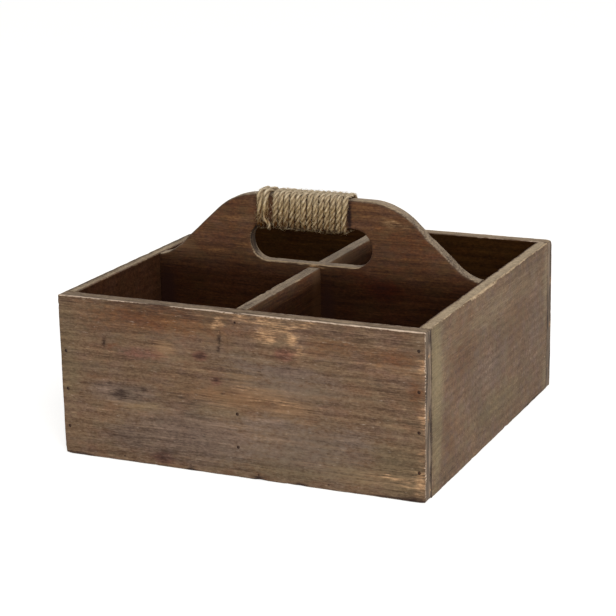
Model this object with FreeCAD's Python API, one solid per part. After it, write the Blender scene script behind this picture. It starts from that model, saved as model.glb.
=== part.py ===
"""A carrying caddy of reclaimed fir boards with four open compartments.

Two face boards cover the ends of two side boards. Three floor planks lie between them, flush underneath.
A tall board with a hand hole runs from side to side, a low board crosses it in a half-lap, and both
stand on the floor. Flat brad nails hold the boards, and jute twine is wound round the grip in one length.

Units are millimetres. +Z is up, the front faces -Y, and the origin is the centre of the underside.
"""

import FreeCAD
import Part

import math
import os

Vector = FreeCAD.Vector

# Box, outside sizes
box_width = 300.0
box_depth = 300.0
wall_height = 128.0
face_board_thickness = 12.0
side_board_thickness = 10.0
arris_round = 1.2  # sanded edge of every board

# Floor
floor_thickness = 8.0
floor_plank_count = 3
floor_plank_gap = 0.6

# Handle board, which stands on the floor between the side boards
handle_thickness = 11.0
handle_rise = 57.0  # top of the grip above the rim
shoulder_radius = 56.0
foot_radius = 36.0
slope_length = 48.5  # straight stretch between the two curves
foot_angle = 8.0  # where the curve runs out on the rim, degrees from level
hand_hole_length = 106.0
hand_hole_height = 31.0
hand_hole_lift = 2.4  # its lower edge above the rim
hand_hole_shift = -3.0  # the hole was cut a little left of the middle
grip_round = 2.5  # rounded edge along the handle's top and round the hand hole

# Cross divider, half-lapped with the handle board
divider_thickness = 10.5
divider_shift = 0.8  # it stands a little right of the middle
lap_clearance = 0.2

# Brad nails of flat wire, driven through the outer boards and punched below the surface
nail_length = 30.0
nail_shank_width = 1.3
nail_head_width = 2.2
nail_wire_thickness = 1.2
nail_head_height = 0.9
nail_point_length = 2.2
nail_set_depth = 0.8
corner_nail_count = 4
corner_nail_bottom = 23.0  # lowest nail above the underside
corner_nail_top = 14.0  # highest nail below the rim
divider_nail_bottom = 24.0
divider_nail_spacing = 26.0
divider_nail_top = 7.5
handle_nail_count = 3
handle_nail_bottom = 32.0
handle_nail_top = 24.0
face_floor_nail_count = 4
face_floor_nail_pitch = 57.0
face_floor_nail_shift = -11.5
plank_nail_spread = 50.0  # between the two nails in each plank's end

# Twine binding on the grip
twine_diameter = 4.4
twine_gap = 0.6  # between neighbouring turns
twine_seat = 0.2  # between the twine and the wood
lead_turns = 2  # turns that were wound first, apart from the rest
lead_overhang = 5.0  # first turn, past the straight part of the hand hole
lead_step = 3.6  # extra gap after those turns

# Places worked out from the sizes above
half_width = box_width / 2
half_depth = box_depth / 2
inner_half_width = half_width - side_board_thickness
inner_half_depth = half_depth - face_board_thickness
handle_top = wall_height + handle_rise
hand_hole_bottom = wall_height + hand_hole_lift
hand_hole_top = hand_hole_bottom + hand_hole_height
hand_hole_middle = hand_hole_bottom + hand_hole_height / 2
hand_hole_end_radius = hand_hole_height / 2
hand_hole_straight_half = hand_hole_length / 2 - hand_hole_end_radius
hand_hole_straight_left = hand_hole_shift - hand_hole_straight_half
hand_hole_straight_right = hand_hole_shift + hand_hole_straight_half
lap_level = (floor_thickness + wall_height) / 2
twine_radius = twine_diameter / 2
twine_pitch = twine_diameter + twine_gap


def sawn_board(low, high):
    """A plain board between two opposite corners."""
    size = high - low
    return Part.makeBox(size.x, size.y, size.z, low)


def eased_board(low, high):
    """A board with all its edges sanded round."""
    board = sawn_board(low, high)
    return board.makeFillet(arris_round, board.Edges)


def face_board(side):
    """The front (side -1) or back (side 1) board, which runs the full width."""
    near, far = sorted((side * inner_half_depth, side * half_depth))
    return eased_board(Vector(-half_width, near, 0), Vector(half_width, far, wall_height))


def side_board(side):
    """The left (side -1) or right (side 1) board, between the face boards."""
    near, far = sorted((side * inner_half_width, side * half_width))
    return eased_board(
        Vector(near, -inner_half_depth, 0), Vector(far, inner_half_depth, wall_height)
    )


def plank_span(index):
    """Front and back edge of one floor plank."""
    gaps = (floor_plank_count - 1) * floor_plank_gap
    width = (2 * inner_half_depth - gaps) / floor_plank_count
    front = -inner_half_depth + index * (width + floor_plank_gap)
    return front, front + width


def floor_plank(index):
    """A floor plank, from side board to side board, with its long upper edges eased."""
    front, back = plank_span(index)
    plank = sawn_board(
        Vector(-inner_half_width, front, 0), Vector(inner_half_width, back, floor_thickness)
    )
    top_edges = [
        edge
        for edge in plank.Edges
        if edge.BoundBox.ZMin > floor_thickness / 2 and edge.BoundBox.XLength > inner_half_width
    ]
    return plank.makeFillet(arris_round, top_edges)


def arc_through(start, middle, end):
    return Part.Arc(start, middle, end).toShape()


def line_between(start, end):
    return Part.LineSegment(start, end).toShape()


def shoulder_points():
    """The right-hand shoulder from the flat top down to the wall, as (x, z) pairs.

    A convex arc leaves the flat top, a straight slope follows, and a concave arc runs out on the rim.
    The slope's angle is the one at which the three together fall from the top to the rim.
    """
    foot = math.radians(foot_angle)
    radii = shoulder_radius + foot_radius
    level_part = shoulder_radius + foot_radius * math.cos(foot) - handle_rise
    slope = math.acos(level_part / math.hypot(radii, slope_length)) - math.atan2(slope_length, radii)

    def on_shoulder(angle):
        return shoulder_radius * math.sin(angle), shoulder_radius * (1 - math.cos(angle))

    def on_foot(angle):
        across = foot_radius * (math.sin(slope) - math.sin(angle))
        return across, foot_radius * (math.cos(angle) - math.cos(slope))

    shoulder_across, shoulder_drop = on_shoulder(slope)
    foot_across, foot_drop = on_foot(foot)
    slope_across = slope_length * math.cos(slope)
    flat_end = inner_half_width - foot_across - slope_across - shoulder_across
    middle_across, middle_drop = on_shoulder(slope / 2)
    foot_start = (flat_end + shoulder_across + slope_across, wall_height + foot_drop)
    half_across, half_drop = on_foot((slope + foot) / 2)
    return [
        (flat_end, handle_top),
        (flat_end + middle_across, handle_top - middle_drop),
        (flat_end + shoulder_across, handle_top - shoulder_drop),
        foot_start,
        (foot_start[0] + half_across, foot_start[1] - half_drop),
        (inner_half_width, wall_height),
    ]


def handle_outline():
    """Closed outline of the handle board on its front face."""
    front = -handle_thickness / 2
    right = [Vector(x, front, z) for x, z in shoulder_points()]
    left = [Vector(-point.x, point.y, point.z) for point in right]
    low_left = Vector(-inner_half_width, front, floor_thickness)
    low_right = Vector(inner_half_width, front, floor_thickness)
    return Part.Wire(
        [
            line_between(left[0], right[0]),
            arc_through(right[0], right[1], right[2]),
            line_between(right[2], right[3]),
            arc_through(right[3], right[4], right[5]),
            line_between(right[5], low_right),
            line_between(low_right, low_left),
            line_between(low_left, left[5]),
            arc_through(left[5], left[4], left[3]),
            line_between(left[3], left[2]),
            arc_through(left[2], left[1], left[0]),
        ]
    )


def hand_hole_outline():
    """Closed outline of the hand hole, straight above and below with round ends."""
    front = -handle_thickness / 2
    left, right = hand_hole_straight_left, hand_hole_straight_right
    top, bottom, middle = hand_hole_top, hand_hole_bottom, hand_hole_middle
    return Part.Wire(
        [
            line_between(Vector(left, front, top), Vector(right, front, top)),
            arc_through(
                Vector(right, front, top),
                Vector(right + hand_hole_end_radius, front, middle),
                Vector(right, front, bottom),
            ),
            line_between(Vector(right, front, bottom), Vector(left, front, bottom)),
            arc_through(
                Vector(left, front, bottom),
                Vector(left - hand_hole_end_radius, front, middle),
                Vector(left, front, top),
            ),
        ]
    )


def is_grip_edge(edge):
    """True for an edge of the handle's top or of the hand hole on either face of the board."""
    box = edge.BoundBox
    lies_on_a_face = box.YLength < handle_thickness / 2
    above_rim = box.ZMax > wall_height + hand_hole_lift / 2
    return lies_on_a_face and above_rim


def handle_board():
    through = Vector(0, handle_thickness, 0)
    board = Part.Face(handle_outline()).extrude(through)
    board = board.cut(Part.Face(hand_hole_outline()).extrude(through))
    board = board.makeFillet(grip_round, [edge for edge in board.Edges if is_grip_edge(edge)])
    half_slot = divider_thickness / 2 + lap_clearance
    lap_slot = sawn_board(
        Vector(divider_shift - half_slot, -handle_thickness, 0),
        Vector(divider_shift + half_slot, handle_thickness, lap_level + lap_clearance),
    )
    return board.cut(lap_slot)


def cross_divider():
    """The low board from front to back, eased along its top and slotted from above for the handle board."""
    left = divider_shift - divider_thickness / 2
    right = divider_shift + divider_thickness / 2
    board = sawn_board(
        Vector(left, -inner_half_depth, floor_thickness), Vector(right, inner_half_depth, wall_height)
    )
    top_edges = [
        edge
        for edge in board.Edges
        if edge.BoundBox.ZMin > lap_level and edge.BoundBox.YLength > inner_half_depth
    ]
    board = board.makeFillet(arris_round, top_edges)
    half_slot = handle_thickness / 2 + lap_clearance
    lap_slot = sawn_board(
        Vector(left - divider_thickness, -half_slot, lap_level),
        Vector(right + divider_thickness, half_slot, wall_height + handle_rise),
    )
    return board.cut(lap_slot)


def brad(start):
    """A flat nail along +Z whose head begins at a given depth, with a wedge point."""
    head, shank = nail_head_width / 2, nail_shank_width / 2
    neck = nail_set_depth + nail_head_height
    tip = nail_set_depth + nail_length
    half_outline = [(head, start), (head, neck), (shank, neck), (shank, tip - nail_point_length)]
    outline = half_outline + [(0, tip)] + [(-x, z) for x, z in reversed(half_outline)]
    corners = [Vector(x, -nail_wire_thickness / 2, z) for x, z in outline]
    face = Part.Face(Part.makePolygon(corners + corners[:1]))
    return face.extrude(Vector(0, nail_wire_thickness, 0))


def driven(shape, surface_point, direction):
    """Turns a nail to its direction, wide way upright, and starts it at a point on a board's outer face."""
    placed = shape.copy()
    turn = FreeCAD.Rotation(Vector(0, 0, 1), Vector(), direction, "ZXY")
    placed.Placement = FreeCAD.Placement(surface_point, turn)
    return placed


def spaced(first, last, count):
    """Evenly spaced places from first to last."""
    return [first + index * (last - first) / (count - 1) for index in range(count)]


def nail_places():
    """Each group of nails as a list of (point on the outer face, direction) pairs."""
    corner_heights = spaced(corner_nail_bottom, wall_height - corner_nail_top, corner_nail_count)
    divider_heights = [
        divider_nail_bottom,
        divider_nail_bottom + divider_nail_spacing,
        wall_height - divider_nail_top,
    ]
    handle_heights = spaced(handle_nail_bottom, wall_height - handle_nail_top, handle_nail_count)
    floor_middle = floor_thickness / 2
    side_middle = half_width - side_board_thickness / 2
    plank_middles = [sum(plank_span(index)) / 2 for index in range(floor_plank_count)]
    half_row = (face_floor_nail_count - 1) * face_floor_nail_pitch / 2
    places = {}
    for face_name, face in (("front", -1), ("back", 1)):
        inward = Vector(0, -face, 0)
        outer = face * half_depth
        for side_name, side in (("left", -1), ("right", 1)):
            places[f"{face_name}_{side_name}_corner_nails"] = [
                (Vector(side * side_middle, outer, height), inward) for height in corner_heights
            ]
        places[f"{face_name}_divider_nails"] = [
            (Vector(divider_shift, outer, height), inward) for height in divider_heights
        ]
        row_middle = -face * face_floor_nail_shift
        places[f"{face_name}_floor_nails"] = [
            (Vector(x, outer, floor_middle), inward)
            for x in spaced(row_middle - half_row, row_middle + half_row, face_floor_nail_count)
        ]
    for side_name, side in (("left", -1), ("right", 1)):
        inward = Vector(-side, 0, 0)
        outer = side * half_width
        places[f"{side_name}_handle_nails"] = [
            (Vector(outer, 0, height), inward) for height in handle_heights
        ]
        places[f"{side_name}_floor_nails"] = [
            (Vector(outer, middle + shift, floor_middle), inward)
            for middle in plank_middles
            for shift in (-plank_nail_spread / 2, plank_nail_spread / 2)
        ]
    return places


def turn_places():
    """Where each turn of the binding climbs the front of the grip."""
    first = hand_hole_straight_left - lead_overhang
    places = [first + index * twine_pitch for index in range(lead_turns)]
    place = places[-1] + twine_pitch + lead_step
    while place <= hand_hole_straight_right - twine_radius:
        places.append(place)
        place += twine_pitch
    return places


def hand_hole_top_at(x):
    """Height of the hand hole's upper edge over a given place, lower towards its round ends."""
    beyond = max(0.0, hand_hole_straight_left - x, x - hand_hole_straight_right)
    return hand_hole_middle + math.sqrt(max(0.0, hand_hole_end_radius**2 - beyond**2))


def binding_runs():
    """The straight runs of the twine up the front, over the top, down the back and under the grip.

    Each run is a pair of points. A place along the winding is counted in turns from the middle of the first
    climb. The twine starts and ends on the back, half way up the grip.
    """
    reach = twine_seat + twine_radius
    corner = grip_round + reach
    face = handle_thickness / 2 + reach
    flat = face - corner
    top = handle_top + reach
    climbs = turn_places()
    stops = [climbs[0] - twine_pitch] + climbs + [climbs[-1] + twine_pitch]
    lowest_edges = [climb - twine_pitch / 2 - reach for climb in climbs]
    bottoms = [hand_hole_top_at(edge) - reach for edge in lowest_edges]
    back_middle = (handle_top + hand_hole_top) / 2

    half_climb = (handle_top - hand_hole_top) / 2 - grip_round
    quarter = corner * math.pi / 2
    lap = 4 * (half_climb + quarter + flat)
    climb_share = half_climb / lap
    top_start = climb_share + quarter / lap
    top_end = top_start + 2 * flat / lap
    back_start = top_end + quarter / lap

    def at(turn, y, z):
        whole = math.floor(turn)
        here, there = stops[whole + 1], stops[whole + 2]
        return Vector(here + (turn - whole) * (there - here), y, z)

    landings = [(turn - back_start, bottom + corner) for turn, bottom in enumerate(bottoms)]
    landings.append((len(climbs) - 0.5, back_middle))
    runs = [(at(-0.5, face, back_middle), at(landings[0][0], face, landings[0][1]))]
    for turn, bottom in enumerate(bottoms):
        next_turn, next_height = landings[turn + 1]
        runs += [
            (at(turn - top_end, flat, bottom), at(turn - top_start, -flat, bottom)),
            (at(turn - climb_share, -face, bottom + corner), at(turn + climb_share, -face, top - corner)),
            (at(turn + top_start, -flat, top), at(turn + top_end, flat, top)),
            (at(turn + back_start, face, top - corner), at(next_turn, face, next_height)),
        ]
    return runs


def arc_middle(start, apex, end):
    """Middle of the arc that is tangent to start-apex and apex-end."""
    chord_middle = (start + end) * 0.5
    towards = apex - chord_middle
    tangent = (apex - start).Length
    half_turn = math.asin(towards.Length / tangent)
    radius = tangent / math.tan(half_turn)
    return chord_middle + towards.normalize() * (radius * (1 - math.cos(half_turn)))


def biarc(start, start_way, end, end_way):
    """Two arcs that leave start one way, arrive at end the other way and join smoothly."""
    chord = end - start
    ways = start_way + end_way
    spread = 2 * (1 - start_way.dot(end_way))
    along = chord.dot(ways)
    reach = (math.sqrt(along**2 + spread * chord.dot(chord)) - along) / spread
    first_apex = start + start_way * reach
    second_apex = end - end_way * reach
    joint = (first_apex + second_apex) * 0.5
    return [
        arc_through(start, arc_middle(start, first_apex, joint), joint),
        arc_through(joint, arc_middle(joint, second_apex, end), end),
    ]


def binding_course():
    """Centre line of the twine: straight runs joined by a biarc at each quarter turn."""
    runs = binding_runs()
    ways = [(end - start).normalize() for start, end in runs]
    edges = []
    for index, (start, end) in enumerate(runs):
        edges.append(line_between(start, end))
        if index + 1 < len(runs):
            edges.extend(biarc(end, ways[index], runs[index + 1][0], ways[index + 1]))
    return Part.Wire(edges)


def least_gap(course):
    """Smallest gap between turns of the twine, measured on points along its centre line."""
    points_per_diameter = 6
    points = course.discretize(Distance=twine_diameter / points_per_diameter)
    near_stretch = 2 * points_per_diameter
    nearest = min(
        points[one].distanceToPoint(points[other])
        for one in range(len(points))
        for other in range(one + near_stretch, len(points))
    )
    return nearest - twine_diameter


def twine_binding():
    course = binding_course()
    first = course.Edges[0]
    way = first.tangentAt(first.FirstParameter)
    section = Part.Wire([Part.makeCircle(twine_radius, first.valueAt(first.FirstParameter), way)])
    binding = course.makePipeShell([section], True, False)
    plain_volume = math.pi * twine_radius**2 * course.Length
    print(f"twine: {len(turn_places())} turns, {course.Length:.0f} mm long")
    print(f"twine: least gap to itself {least_gap(course):.2f} mm")
    print(f"twine: volume {binding.Volume:.0f}, section times length {plain_volume:.0f} mm3")
    return binding


def build():
    """Every piece of the caddy by its name."""
    boards = {
        "front_board": face_board(-1),
        "back_board": face_board(1),
        "left_board": side_board(-1),
        "right_board": side_board(1),
        "handle_board": handle_board(),
        "cross_divider": cross_divider(),
    }
    for index in range(floor_plank_count):
        boards[f"floor_plank_{index + 1}"] = floor_plank(index)

    nail = brad(nail_set_depth)
    nail_hole = brad(-nail_set_depth)
    pieces, holes = {}, []
    for group, places in nail_places().items():
        pieces[group] = Part.makeCompound([driven(nail, *place) for place in places])
        holes.extend(driven(nail_hole, *place) for place in places)
    for name, board in boards.items():
        near = [hole for hole in holes if hole.BoundBox.intersect(board.BoundBox)]
        pieces[name] = board.cut(near)
    pieces["twine_binding"] = twine_binding()
    return pieces


def main():
    os.makedirs("parts", exist_ok=True)
    for name, shape in build().items():
        shape.exportStep(f"parts/{name}.step")


main()
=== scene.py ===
import math
import random

import bmesh
import bpy
import numpy as np
from mathutils import Matrix, Vector, geometry, noise


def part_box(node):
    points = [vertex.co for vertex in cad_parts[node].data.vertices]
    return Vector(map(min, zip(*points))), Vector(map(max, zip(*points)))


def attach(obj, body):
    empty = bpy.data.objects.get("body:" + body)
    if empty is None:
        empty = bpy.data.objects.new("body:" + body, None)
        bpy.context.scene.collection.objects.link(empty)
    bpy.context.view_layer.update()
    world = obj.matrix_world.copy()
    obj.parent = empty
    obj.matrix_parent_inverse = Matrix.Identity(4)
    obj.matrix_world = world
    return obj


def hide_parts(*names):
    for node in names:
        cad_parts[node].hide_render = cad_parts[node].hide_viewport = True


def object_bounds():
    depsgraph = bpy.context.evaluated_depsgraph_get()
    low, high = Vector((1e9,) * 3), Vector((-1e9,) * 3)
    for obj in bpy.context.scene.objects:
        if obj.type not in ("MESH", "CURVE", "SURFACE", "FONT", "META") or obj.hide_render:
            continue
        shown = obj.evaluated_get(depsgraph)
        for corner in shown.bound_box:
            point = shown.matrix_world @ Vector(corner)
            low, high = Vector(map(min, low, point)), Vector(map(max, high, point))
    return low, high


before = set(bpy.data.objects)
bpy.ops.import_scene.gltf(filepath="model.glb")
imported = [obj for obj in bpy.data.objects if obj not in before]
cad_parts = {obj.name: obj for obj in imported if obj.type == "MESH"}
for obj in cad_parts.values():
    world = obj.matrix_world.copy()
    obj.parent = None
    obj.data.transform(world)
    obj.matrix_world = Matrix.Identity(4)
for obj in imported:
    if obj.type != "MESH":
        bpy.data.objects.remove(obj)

mm = 0.001  # the pieces below are measured in millimetres
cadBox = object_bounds()
scene = bpy.context.scene
scene.view_settings.view_transform = "Standard"
print("frame: %d CAD nodes" % len(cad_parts))


def toLinear(hexColour):  # sRGB hex to linear RGBA
    parts = [int(hexColour[i:i + 2], 16) / 255 for i in (1, 3, 5)]
    return [p / 12.92 if p <= 0.04045 else ((p + 0.055) / 1.055) ** 2.4 for p in parts] + [1.0]


def addNode(tree, kind, values=None, links=None, stops=None, **settings):
    node = tree.nodes.new("ShaderNode" + kind)
    for key, value in settings.items():
        setattr(node, key, value)
    for key, value in (values or {}).items():
        node.inputs[key].default_value = toLinear(value) if isinstance(value, str) else value
    for key, source in (links or {}).items():
        tree.links.new(source.outputs[0] if hasattr(source, "outputs") else source, node.inputs[key])
    for i, (place, colour) in enumerate(stops or []):  # a ramp's stops, in rising order
        stop = node.color_ramp.elements[i] if i < 2 else node.color_ramp.elements.new(place)
        stop.position = place
        stop.color = toLinear(colour)
    return node


def newMaterial(name):
    material = bpy.data.materials.new(name)
    material.use_nodes = True
    material.node_tree.nodes.clear()
    return material, material.node_tree


def blendIn(tree, where, under, over, blend="MIX"):  # one colour over another by a mask; each hex or a socket
    colours = {6: under, 7: over}
    values = {key: colour for key, colour in colours.items() if isinstance(colour, str)}
    links = {key: colour for key, colour in colours.items() if key not in values}
    mixed = addNode(tree, "Mix", data_type="RGBA", blend_type=blend, values=values, links={0: where, **links})
    return mixed.outputs[2]


def tellMesh(data, key, values):  # a number or a vector at each corner, for the material to read
    kind, field = ("FLOAT_VECTOR", "vector") if values.ndim == 2 else ("FLOAT", "value")
    data.attributes.new(key, kind, "POINT").data.foreach_set(field, values.astype(np.float32).ravel())


# camera: the photograph's view, through a long lens about 1.5 m off and just above the rim
cameraLook = {
    "place": (596.5, -1325.5, 494.0),  # mm
    "turn": 24.524,  # degrees to the left of +Y
    "tilt": -15.427,
    "lean": -1.103,
    "lens": 109.29,  # mm, on a 36 mm square frame
}


def addCamera():
    data = bpy.data.cameras.new("photoCamera")
    data.lens = cameraLook["lens"]
    data.sensor_width = 36
    camera = bpy.data.objects.new("photoCamera", data)
    scene.collection.objects.link(camera)
    turn = Matrix.Rotation(math.radians(cameraLook["turn"]), 4, "Z")
    tilt = Matrix.Rotation(math.radians(90 + cameraLook["tilt"]), 4, "X")
    lean = Matrix.Rotation(math.radians(cameraLook["lean"]), 4, "Z")
    place = Matrix.Translation(Vector(cameraLook["place"]) * mm)
    camera.matrix_world = place @ turn @ tilt @ lean
    scene.camera = camera


# studio: a white tent with a dim roof, one big soft lamp in front, and a pale floor that runs out to white
studioLook = {
    "tentSides": 0.78,  # light from all round
    "tentRoof": 0.34,
    "keyPlace": (1.25, -1.6, 1.3),  # metres
    "keySize": 1.6,
    "keyPower": 36.0,  # watts
    "keyAim": (0.0, 0.0, 0.07),
    "floorSize": 14.0,
    "floorPaint": "#dcdad6",
    "floorGlow": 0.66,  # what the camera sees on top of the lit paint, so that it runs out to white
    "floorDrop": 0.0002,  # clear of the box's underside
}


def seenStraight(tree):  # 1 for what the camera sees, also in a mirror or through glass
    path = addNode(tree, "LightPath")
    seen = addNode(tree, "Math", operation="MAXIMUM",
                   links={0: path.outputs["Is Camera Ray"], 1: path.outputs["Is Glossy Ray"]})
    return addNode(tree, "Math", operation="MAXIMUM", links={0: seen, 1: path.outputs["Is Transmission Ray"]})


def addStudio():
    world = bpy.data.worlds.new("whiteTent")
    world.use_nodes = True
    scene.world = world
    tree = world.node_tree
    tree.nodes.clear()
    heading = addNode(tree, "TexCoord").outputs["Generated"]
    height = addNode(tree, "SeparateXYZ", links={0: heading}).outputs["Z"]
    tent = addNode(tree, "MapRange", interpolation_type="SMOOTHSTEP", links={"Value": height},
                   values={"To Min": studioLook["tentSides"], "To Max": studioLook["tentRoof"]})
    level = addNode(tree, "MapRange", values={"To Max": 1.0},
                    links={"Value": seenStraight(tree), "To Min": tent})
    sky = addNode(tree, "Background", values={"Color": "#ffffff"}, links={"Strength": level})
    addNode(tree, "OutputWorld", links={"Surface": sky})

    lampData = bpy.data.lights.new("keyLamp", "AREA")
    lampData.shape = "DISK"
    lampData.size = studioLook["keySize"]
    lampData.energy = studioLook["keyPower"]
    lamp = bpy.data.objects.new("keyLamp", lampData)
    scene.collection.objects.link(lamp)
    lamp.location = studioLook["keyPlace"]
    lamp.rotation_euler = (Vector(studioLook["keyAim"]) - lamp.location).to_track_quat("-Z", "Y").to_euler()

    # floor paint: matt white, seen brighter by the camera than it lights the box
    material, tree = newMaterial("matt_white_floor_paint")
    place = addNode(tree, "NewGeometry").outputs["Position"]
    grain = addNode(tree, "TexNoise", values={"Scale": 9.0, "Detail": 3.0}, links={"Vector": place})
    paint = addNode(tree, "MapRange", values={"To Min": 0.97, "To Max": 1.0}, links={"Value": grain})
    tint = addNode(tree, "Mix", data_type="RGBA", blend_type="MULTIPLY",
                   values={0: 1.0, 6: studioLook["floorPaint"]}, links={7: paint})
    matt = addNode(tree, "BsdfDiffuse", links={"Color": tint.outputs[2]})
    apart = addNode(tree, "VectorMath", operation="ABSOLUTE", links={0: place})
    apart = addNode(tree, "SeparateXYZ", links={0: apart.outputs[0]})
    apart = addNode(tree, "Math", operation="MAXIMUM", links={0: apart.outputs["X"], 1: apart.outputs["Y"]})
    edge, most = cadBox[1].x, studioLook["floorGlow"]  # no glow under the box, where the planks have gaps
    level = addNode(tree, "MapRange", links={"Value": apart},
                    values={"From Min": 0.9 * edge, "From Max": 0.95 * edge, "To Max": most})
    glow = addNode(tree, "Emission", values={"Color": "#ffffff"}, links={"Strength": level})
    bright = addNode(tree, "AddShader", links={0: matt, 1: glow})
    both = addNode(tree, "MixShader", links={0: seenStraight(tree), 1: matt, 2: bright})
    addNode(tree, "OutputMaterial", links={"Surface": both})
    half = studioLook["floorSize"] / 2
    corners = [(-half, -half, 0), (half, -half, 0), (half, half, 0), (-half, half, 0)]
    data = bpy.data.meshes.new("studioFloor")
    data.from_pydata(corners, [], [(0, 1, 2, 3)])
    data.materials.append(material)
    floor = bpy.data.objects.new("studioFloor", data)
    floor.location.z = cadBox[0].z - studioLook["floorDrop"]
    scene.collection.objects.link(floor)


addCamera()
addStudio()
print("camera and studio set")


# stained fir, planed and then rubbed back: long fine fibres and soft growth lines under a brown stain,
# patchy with grey, olive, mauve and rust, pale where the edges have been sanded through
firLook = {
    "face": {
        "fibres": ("#32221a", "#58412e", "#6b533e", "#80664d", "#a78967"),
        "strands": {"fibre": 0.75, "streak": 0.65, "mottle": 0.75, "speck": 0.9},
        "grey": "#71654f", "greyMuch": 0.2,
        "rust": "#7d4c33", "rustMuch": 0.2,
        "mauve": "#705957", "mauveMuch": 0.15,
        "tints": {"warm": "#e9c8aa", "grey": "#7c7063", "pale": "#9c7a59",
                  "red": "#78423a", "olive": "#6e5e45", "slate": "#6a5a50"},
        "worn": ("#a0866e", "#ecd6bf"),
        "bare": ("#7c5838", "#dcb084"),
        "rim": ("#4c3b2c", "#b59d80"),
        "ends": ("#30241c", "#8c7966"),
        # inside: the colour the box's inside is multiplied by, for its dark stain and painted shade
        "inside": "#7a623c",
        "fleck": 0.3,
        "scuffs": 0.6,
        "stretch": 1.0,
        "rubbing": 1.2,
    },
    "side": {
        "fibres": ("#35261d", "#5c4634", "#6e5743", "#826951", "#a68a6a"),
        "strands": {"fibre": 0.3, "streak": 0.15, "mottle": 1.35, "speck": 1.0},
        "grey": "#70664f", "greyMuch": 0.3,
        "rust": "#784f39", "rustMuch": 0.2,
        "mauve": "#6d5a5a", "mauveMuch": 0.25,
        "tints": {"warm": "#f0dac6", "grey": "#776f5f", "pale": "#9d8d70",
                  "red": "#7c4a3a", "olive": "#706347", "slate": "#6c5d53"},
        "worn": ("#957b5f", "#d9c09c"),
        "bare": ("#7e5f45", "#c09b74"),
        "rim": ("#584632", "#cdb696"),
        "ends": ("#30241c", "#8c7966"),
        "inside": "#907464",
        "fleck": 0.36,
        "scuffs": 0.4,
        "stretch": 0.55,  # shorter strokes along the grain
        "rubbing": 0.9,
    },
    "handle": {
        "fibres": ("#2a1609", "#4a2d19", "#593a22", "#6a482b", "#8a643d"),
        "strands": {"fibre": 1.1, "streak": 0.8, "mottle": 0.7, "speck": 1.2},
        "grey": "#58482f", "greyMuch": 0.3,
        "rust": "#6e3f26", "rustMuch": 0.45,
        "mauve": "#553b33", "mauveMuch": 0.25,
        "tints": {"warm": "#efd2b8", "grey": "#5a4c3a", "pale": "#7a5c40",
                  "red": "#6a2c22", "olive": "#584a2c", "slate": "#544438"},
        "worn": ("#77604a", "#c3aa86"),
        "bare": ("#6d5036", "#b08c63"),
        "rim": ("#4a3b2e", "#b8a389"),
        "ends": ("#1f150d", "#5a4632"),
        "inside": "#6c4e25",
        "fleck": 0.14,
        "scuffs": 0.6,
        "stretch": 1.0,
        "rubbing": 0.6,
    },
}

# each pattern's size in mm: along the grain, across it, detail, roughness
# (fir fibres are some 0.05 mm wide: drawn as 1 mm strands, which the picture can show)
firPatterns = {
    "bend": (260, 60, 2, 0.5),
    "fibre": (26, 0.9, 2, 0.6),
    "streak": (60, 3.2, 3, 0.6),
    "mottle": (5.5, 3.0, 4, 0.68),
    "speck": (2.6, 1.2, 2, 0.6),
    "blotch": (22, 12, 3, 0.64),
    "cloud": (70, 45, 2, 0.5),
    "scuff": (6, 1.4, 3, 0.65),
    "wear": (26, 9, 3, 0.6),
    "endRings": (400, 30, 2, 0.6),
}
fibrePlaces = (0.0, 0.3, 0.5, 0.72, 1.0)  # where each of the five fibre colours lies, dark to pale
ringSpacing = 6.2  # mm between growth lines
ringShare = 0.16  # how much they show beside the strands
strandSpan = 0.63  # how far the strands reach to either side of their mean
knotColour = "#22100a"
# how a listed stain lies on the wood: blend, most, the pattern that breaks it up
stainBlends = {
    "warm": ("MULTIPLY", 1.0, "mottle"),
    "grey": ("MIX", 0.5, "mottle"),
    "pale": ("MIX", 0.5, "fibre"),
    "red": ("COLOR", 0.45, "mottle"),
    "olive": ("COLOR", 0.5, "mottle"),
    "slate": ("COLOR", 0.55, "mottle"),
}
# how far the grain breaks up a mask, where it begins and is full, and the least that counts as a mark
maskBreaks = {
    "ends": (0.15, 0.2, 0.7, 0.12),
    "rim": (0.2, 0.2, 0.7, 0.12),
    "bare": (0.7, 0.2, 1.05, 0.12),
    "worn": (0.6, 0.42, 0.95, 0.12),
    "dark": (-0.3, 0.12, 0.9, 0.2),
}


def breakUp(tree, ragged, mask, share, start, full, least):  # a mask whose edge follows the grain
    broken = addNode(tree, "MapRange", clamp=False, links={"Value": ragged},
                     values={"From Min": 1.0, "From Max": 2.0, "To Min": -share, "To Max": share})
    broken = addNode(tree, "Math", operation="ADD", links={0: broken, 1: mask})
    where = addNode(tree, "MapRange", interpolation_type="SMOOTHSTEP",
                    values={"From Min": start, "From Max": full}, links={"Value": broken})
    # nothing far from the mark
    there = addNode(tree, "MapRange", values={"From Max": least}, links={"Value": mask})
    return addNode(tree, "Math", operation="MULTIPLY", links={0: where, 1: there})


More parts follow.
